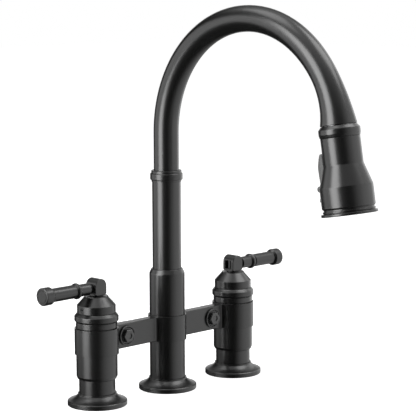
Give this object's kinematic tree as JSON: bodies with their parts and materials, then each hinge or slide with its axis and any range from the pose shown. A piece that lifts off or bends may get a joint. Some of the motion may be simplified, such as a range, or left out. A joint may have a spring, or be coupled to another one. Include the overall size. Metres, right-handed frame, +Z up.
{
  "type": "bridge kitchen faucet",
  "caption": "Matte black bridge kitchen faucet: high swivelling gooseneck with a pull-down spray wand, lever handles on deck-mounted valves and a flat bridge bar.",
  "frame": {"origin": "centre of the spout column's shank at deck level", "axes": "+Z up, X along the bridge with the right handle at +X, -Y towards the sink, where the spout points at rest"},
  "size_m": [0.3488, 0.3156, 0.4148],
  "materials": {
    "matte_black": "matte black coating, satin sheen",
    "rubber": "moulded black rubber",
    "acetal": "natural moulded acetal",
    "ceramic": "polished ceramic",
    "brass": "turned brass",
    "steel": "stainless steel",
    "hose_braid": "black nylon braid over a rubber hose",
    "nozzle_plate": "dark moulded plastic with soft nozzles",
    "toggle_plastic": "dark charcoal moulded plastic, matte and a little greyer than the metal"
  },
  "bodies": {
    "base": {"column_flange": "matte_black", "left_flange": "matte_black", "right_flange": "matte_black", "deck_gaskets": "rubber", "column_lower": "matte_black", "column_upper": "matte_black", "bridge_bar": "matte_black", "bridge_washers": "matte_black", "bridge_bolts": "matte_black", "upper_bush": "acetal", "lower_bush": "acetal", "cartridge_rings": "rubber", "left_collar": "matte_black", "left_valve_body": "matte_black", "left_bonnet_ring": "matte_black", "left_bead_ring": "matte_black", "left_cartridge": "acetal", "left_seat_disc": "ceramic", "right_collar": "matte_black", "right_valve_body": "matte_black", "right_bonnet_ring": "matte_black", "right_bead_ring": "matte_black", "right_cartridge": "acetal", "right_seat_disc": "ceramic"},
    "spout": {"riser_tube": "matte_black", "retaining_ring": "steel", "spout_o_rings": "rubber", "riser_ring": "matte_black", "gooseneck": "matte_black", "dock_insert": "acetal", "dock_magnet": "steel", "hose": "hose_braid", "hose_fitting": "brass"},
    "left_handle": {"left_hub": "matte_black", "left_set_screw": "steel", "left_lever": "matte_black", "left_end_cap": "matte_black", "left_stem": "brass", "left_turning_disc": "ceramic"},
    "right_handle": {"right_hub": "matte_black", "right_set_screw": "steel", "right_lever": "matte_black", "right_end_cap": "matte_black", "right_stem": "brass", "right_turning_disc": "ceramic"},
    "wand": {"keeper_ring": "steel", "wand_rim": "matte_black", "wand_shell": "matte_black", "wand_core": "acetal", "check_valve": "acetal", "hose_nut": "brass", "spray_face": "nozzle_plate", "aerator": "nozzle_plate", "outlet_ring": "matte_black", "toggle_pin": "steel"},
    "toggle": {"spray_toggle": "toggle_plastic"},
    "spool": {"diverter_spool": "acetal"}
  },
  "joints": [
    {"name": "spout_swivel", "type": "hinge", "parent": "base", "child": "spout", "pos_m": [0, 0, 0.13], "axis": [0, 0, 1], "range_deg": [-180, 180]},
    {"name": "left_handle_turn", "type": "hinge", "parent": "base", "child": "left_handle", "pos_m": [-0.1016, 0, 0.1], "axis": [0, 0, 1], "range_deg": [0, 90]},
    {"name": "right_handle_turn", "type": "hinge", "parent": "base", "child": "right_handle", "pos_m": [0.1016, 0, 0.1], "axis": [0, 0, 1], "range_deg": [-90, 0]},
    {"name": "wand_pull", "type": "slide", "parent": "spout", "child": "wand", "axis": [0, -0.1736, -0.9848], "range_m": [0, 0.2], "deforming": ["hose"]},
    {"name": "toggle_rock", "type": "hinge", "parent": "wand", "child": "toggle", "pos_m": [0, -0.23041, 0.23839], "axis": [1, 0, 0], "range_deg": [0, 4]},
    {"name": "spool_push", "type": "slide", "parent": "wand", "child": "spool", "axis": [0, -0.9848, 0.1736], "range_m": [0, 0.0014]}
  ],
  "couplings": [
    {"joint": "spool_push", "follows": "toggle_rock", "m_per_rad": 0.02}
  ]
}
